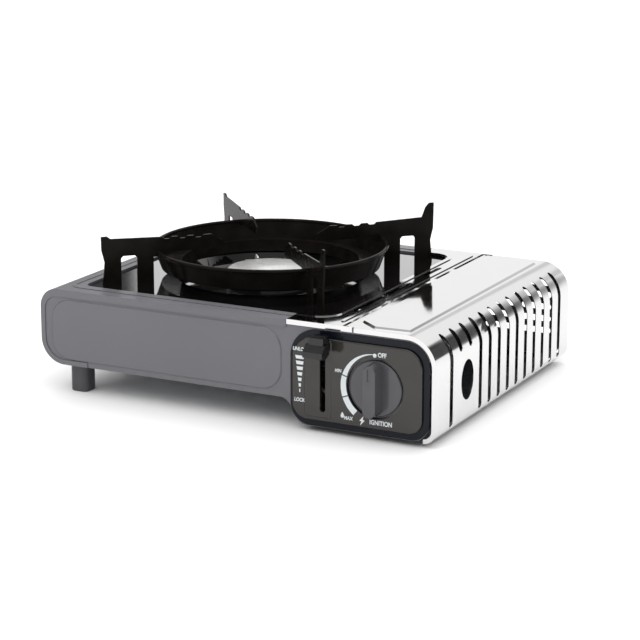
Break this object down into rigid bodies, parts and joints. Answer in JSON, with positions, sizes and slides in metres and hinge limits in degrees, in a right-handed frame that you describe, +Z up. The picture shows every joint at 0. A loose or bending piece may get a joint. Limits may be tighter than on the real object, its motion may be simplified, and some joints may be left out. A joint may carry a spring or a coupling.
{
  "type": "camping stove",
  "caption": "Flat portable gas camping stove with a pan support over one burner, a hinged cartridge lid with side vents, a control knob and a cartridge lock lever.",
  "frame": {"origin": "on the ground under the centre of the stove's overall box", "axes": "+X towards the cartridge bay and its lid, -Y towards the control side, +Z up"},
  "size_m": [0.34, 0.284, 0.131],
  "materials": {
    "grey_paint": "satin",
    "inner_steel": "satin",
    "bay_paint": "satin",
    "stainless_mirror": "polished",
    "black_enamel": "gloss",
    "support_enamel": "satin",
    "black_plastic": "satin",
    "knob_plastic": "satin",
    "lever_plastic": "satin",
    "foot_plastic": "satin",
    "foot_rubber": "matte",
    "cast_alloy": "satin",
    "brass": "satin",
    "zinc_steel": "satin",
    "white_ceramic": "gloss",
    "seal_rubber": "matte",
    "wire_insulation": "satin"
  },
  "bodies": {
    "root": {"air_shutter": "zinc_steel", "back_left_foot": "foot_plastic", "back_right_foot": "foot_rubber", "base_screws": "zinc_steel", "bay_partition": "bay_paint", "body_shell": "grey_paint", "bottom_plate": "inner_steel", "burner_bracket": "zinc_steel", "burner_cap": "cast_alloy", "burner_head": "cast_alloy", "cartridge_saddles": "foot_rubber", "cartridge_tray": "bay_paint", "centre_plate": "stainless_mirror", "drip_tray": "black_enamel", "electrode": "white_ceramic", "electrode_bracket": "zinc_steel", "electrode_pin": "zinc_steel", "fascia": "black_plastic", "front_left_foot": "foot_plastic", "front_panel": "grey_paint", "front_right_foot": "foot_rubber", "hinge_pins": "zinc_steel", "ignition_wire": "wire_insulation", "injector_jet": "brass", "inlet_seal": "seal_rubber", "mixing_tube": "inner_steel", "piezo_igniter": "lever_plastic", "rear_panel": "grey_paint", "rear_screws": "zinc_steel", "regulator_body": "cast_alloy", "regulator_cap": "cast_alloy", "regulator_screws": "zinc_steel"},
    "lid": {"lid": "stainless_mirror"},
    "knob": {"control_knob": "knob_plastic", "valve_spindle": "brass", "ignition_cam": "knob_plastic"},
    "lever": {"lock_lever": "lever_plastic", "lever_slide": "zinc_steel"},
    "yoke": {"cartridge_yoke": "zinc_steel"},
    "pan_support": {"support_ring": "support_enamel", "support_arm_back_left": "support_enamel", "support_arm_back_right": "support_enamel", "support_arm_front_left": "support_enamel", "support_arm_front_right": "support_enamel"}
  },
  "joints": [
    {"name": "lid_hinge", "type": "hinge", "parent": "root", "child": "lid", "pos_m": [0.0975, 0.01, 0.081], "axis": [0, -1, 0], "range_deg": [0, 95]},
    {"name": "knob_turn", "type": "hinge", "parent": "root", "child": "knob", "pos_m": [0.1224, -0.12, 0.041], "axis": [0, -1, 0], "range_deg": [0, 150]},
    {"name": "lock_lever_slide", "type": "slide", "parent": "root", "child": "lever", "axis": [0, 0, -1], "range_m": [0, 0.046]},
    {"name": "yoke_slide", "type": "slide", "parent": "root", "child": "yoke", "axis": [0, -1, 0], "range_m": [0, 0.005]},
    {"name": "pan_support_lift", "type": "slide", "parent": "root", "child": "pan_support", "axis": [0, 0, 1], "range_m": [0, 0.1]}
  ],
  "couplings": [
    {"joint": "yoke_slide", "follows": "lock_lever_slide", "ratio": 0.1087}
  ]
}
